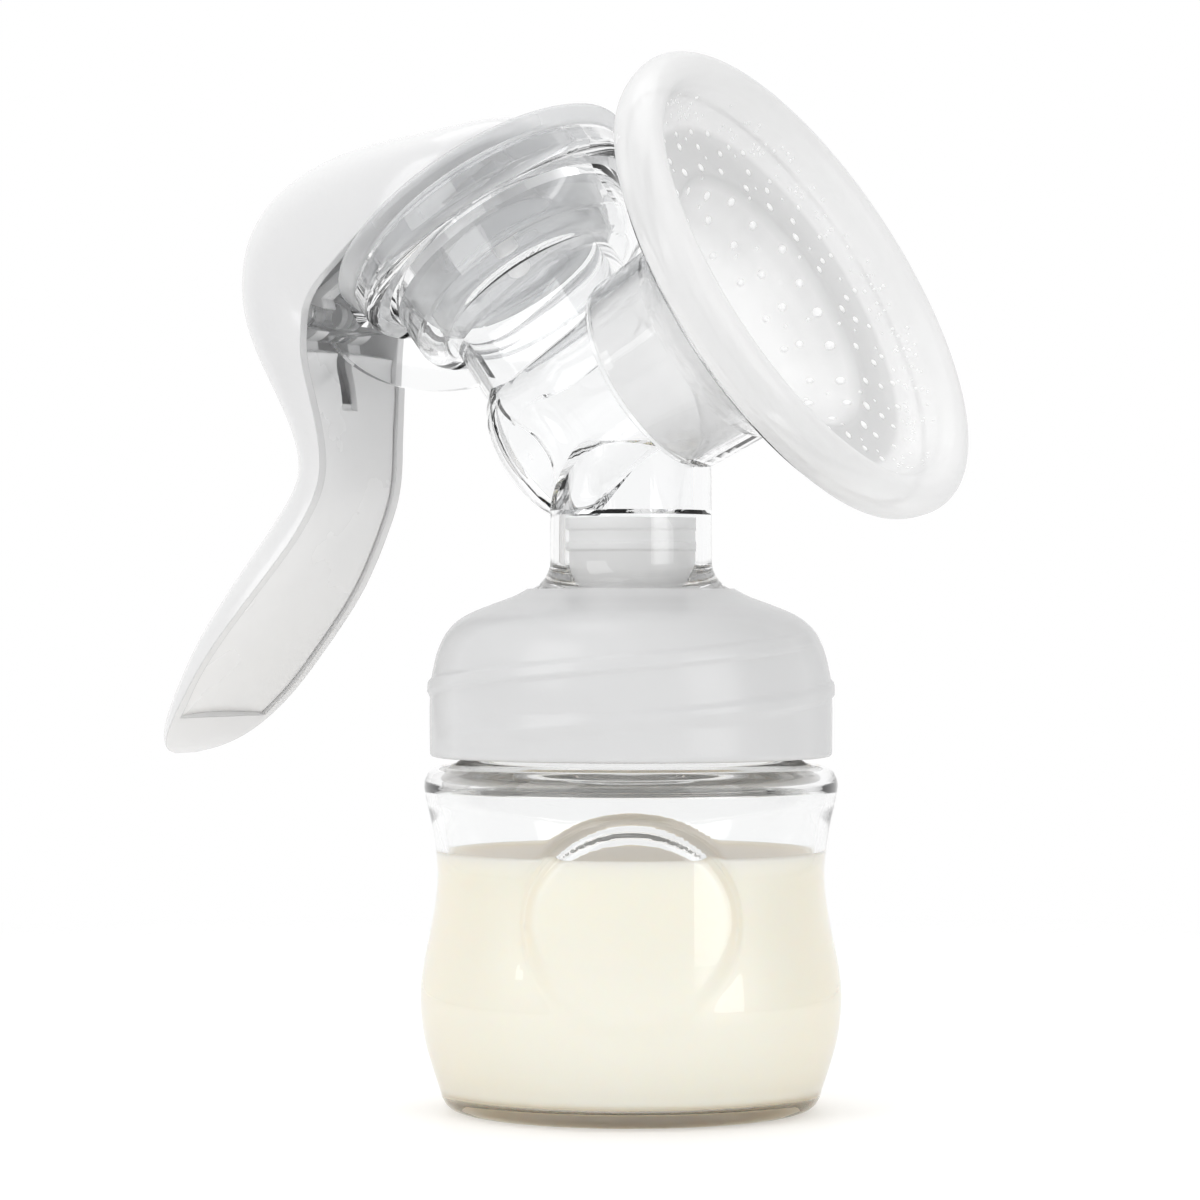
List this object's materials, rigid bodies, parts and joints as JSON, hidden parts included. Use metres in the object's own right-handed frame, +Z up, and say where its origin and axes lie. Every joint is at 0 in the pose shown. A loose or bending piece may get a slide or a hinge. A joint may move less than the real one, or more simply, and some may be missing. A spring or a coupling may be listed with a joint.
{
  "type": "manual breast pump",
  "caption": "Hand-operated breast pump: squeeze handle lifts a diaphragm, a cushioned funnel and valve drain through a screw collar into a waisted clear bottle.",
  "frame": {"origin": "centre of the bottle's flat base, on the table", "axes": "+Z up along the bottle's axis, +X towards the breast funnel, XZ is the mirror plane of the pump"},
  "size_m": [0.1365, 0.0816, 0.1645],
  "materials": {
    "clear_bottle": "crystal clear moulded plastic",
    "frosted_collar": "milky frosted polypropylene",
    "clear_body": "crystal clear moulded plastic",
    "white_silicone": "soft satin white silicone",
    "cushion_silicone": "translucent white silicone, satin",
    "diaphragm_silicone": "clear translucent silicone",
    "stem_plastic": "smooth white moulded plastic",
    "handle_white": "glossy white moulded plastic",
    "frame_white": "glossy white moulded plastic",
    "milk": "opaque cream-coloured milk filling the lower part of the bottle"
  },
  "bodies": {
    "bottle": {"bottle": "clear_bottle"},
    "pump": {"pump_body": "clear_body", "diaphragm": "diaphragm_silicone"},
    "collar": {"screw_collar": "frosted_collar"},
    "handle": {"handle_shell": "handle_white", "handle_frame": "frame_white"},
    "stem": {"diaphragm_stem": "stem_plastic"},
    "cushion": {"massage_cushion": "cushion_silicone"},
    "valve": {"duckbill_valve": "white_silicone"}
  },
  "joints": [
    {"name": "pump_lift", "type": "slide", "parent": "bottle", "child": "pump", "axis": [0, 0, 1], "range_m": [0, 0.0075]},
    {"name": "collar_turn", "type": "hinge", "parent": "pump", "child": "collar", "pos_m": [0, 0, 0.06], "axis": [0, 0, 1], "range_deg": [0, 450]},
    {"name": "handle_squeeze", "type": "hinge", "parent": "pump", "child": "handle", "pos_m": [-0.0565, 0, 0.126], "axis": [0, -1, 0], "range_deg": [0, 15], "stiffness_Nm_per_rad": 2},
    {"name": "stem_pull", "type": "slide", "parent": "pump", "child": "stem", "axis": [-0.5889, 0, 0.8082], "range_m": [0, 0.0088], "deforming": ["diaphragm"]},
    {"name": "cushion_pull", "type": "slide", "parent": "pump", "child": "cushion", "axis": [0.8773, 0, 0.4799], "range_m": [0, 0.04], "stiffness_N_per_m": 50},
    {"name": "valve_pull", "type": "slide", "parent": "pump", "child": "valve", "axis": [0, 0, -1], "range_m": [0, 0.025], "stiffness_N_per_m": 100}
  ],
  "couplings": [
    {"joint": "collar_turn", "follows": "pump_lift", "rad_per_m": 1047.2},
    {"joint": "stem_pull", "follows": "handle_squeeze", "m_per_rad": 0.03288}
  ]
}
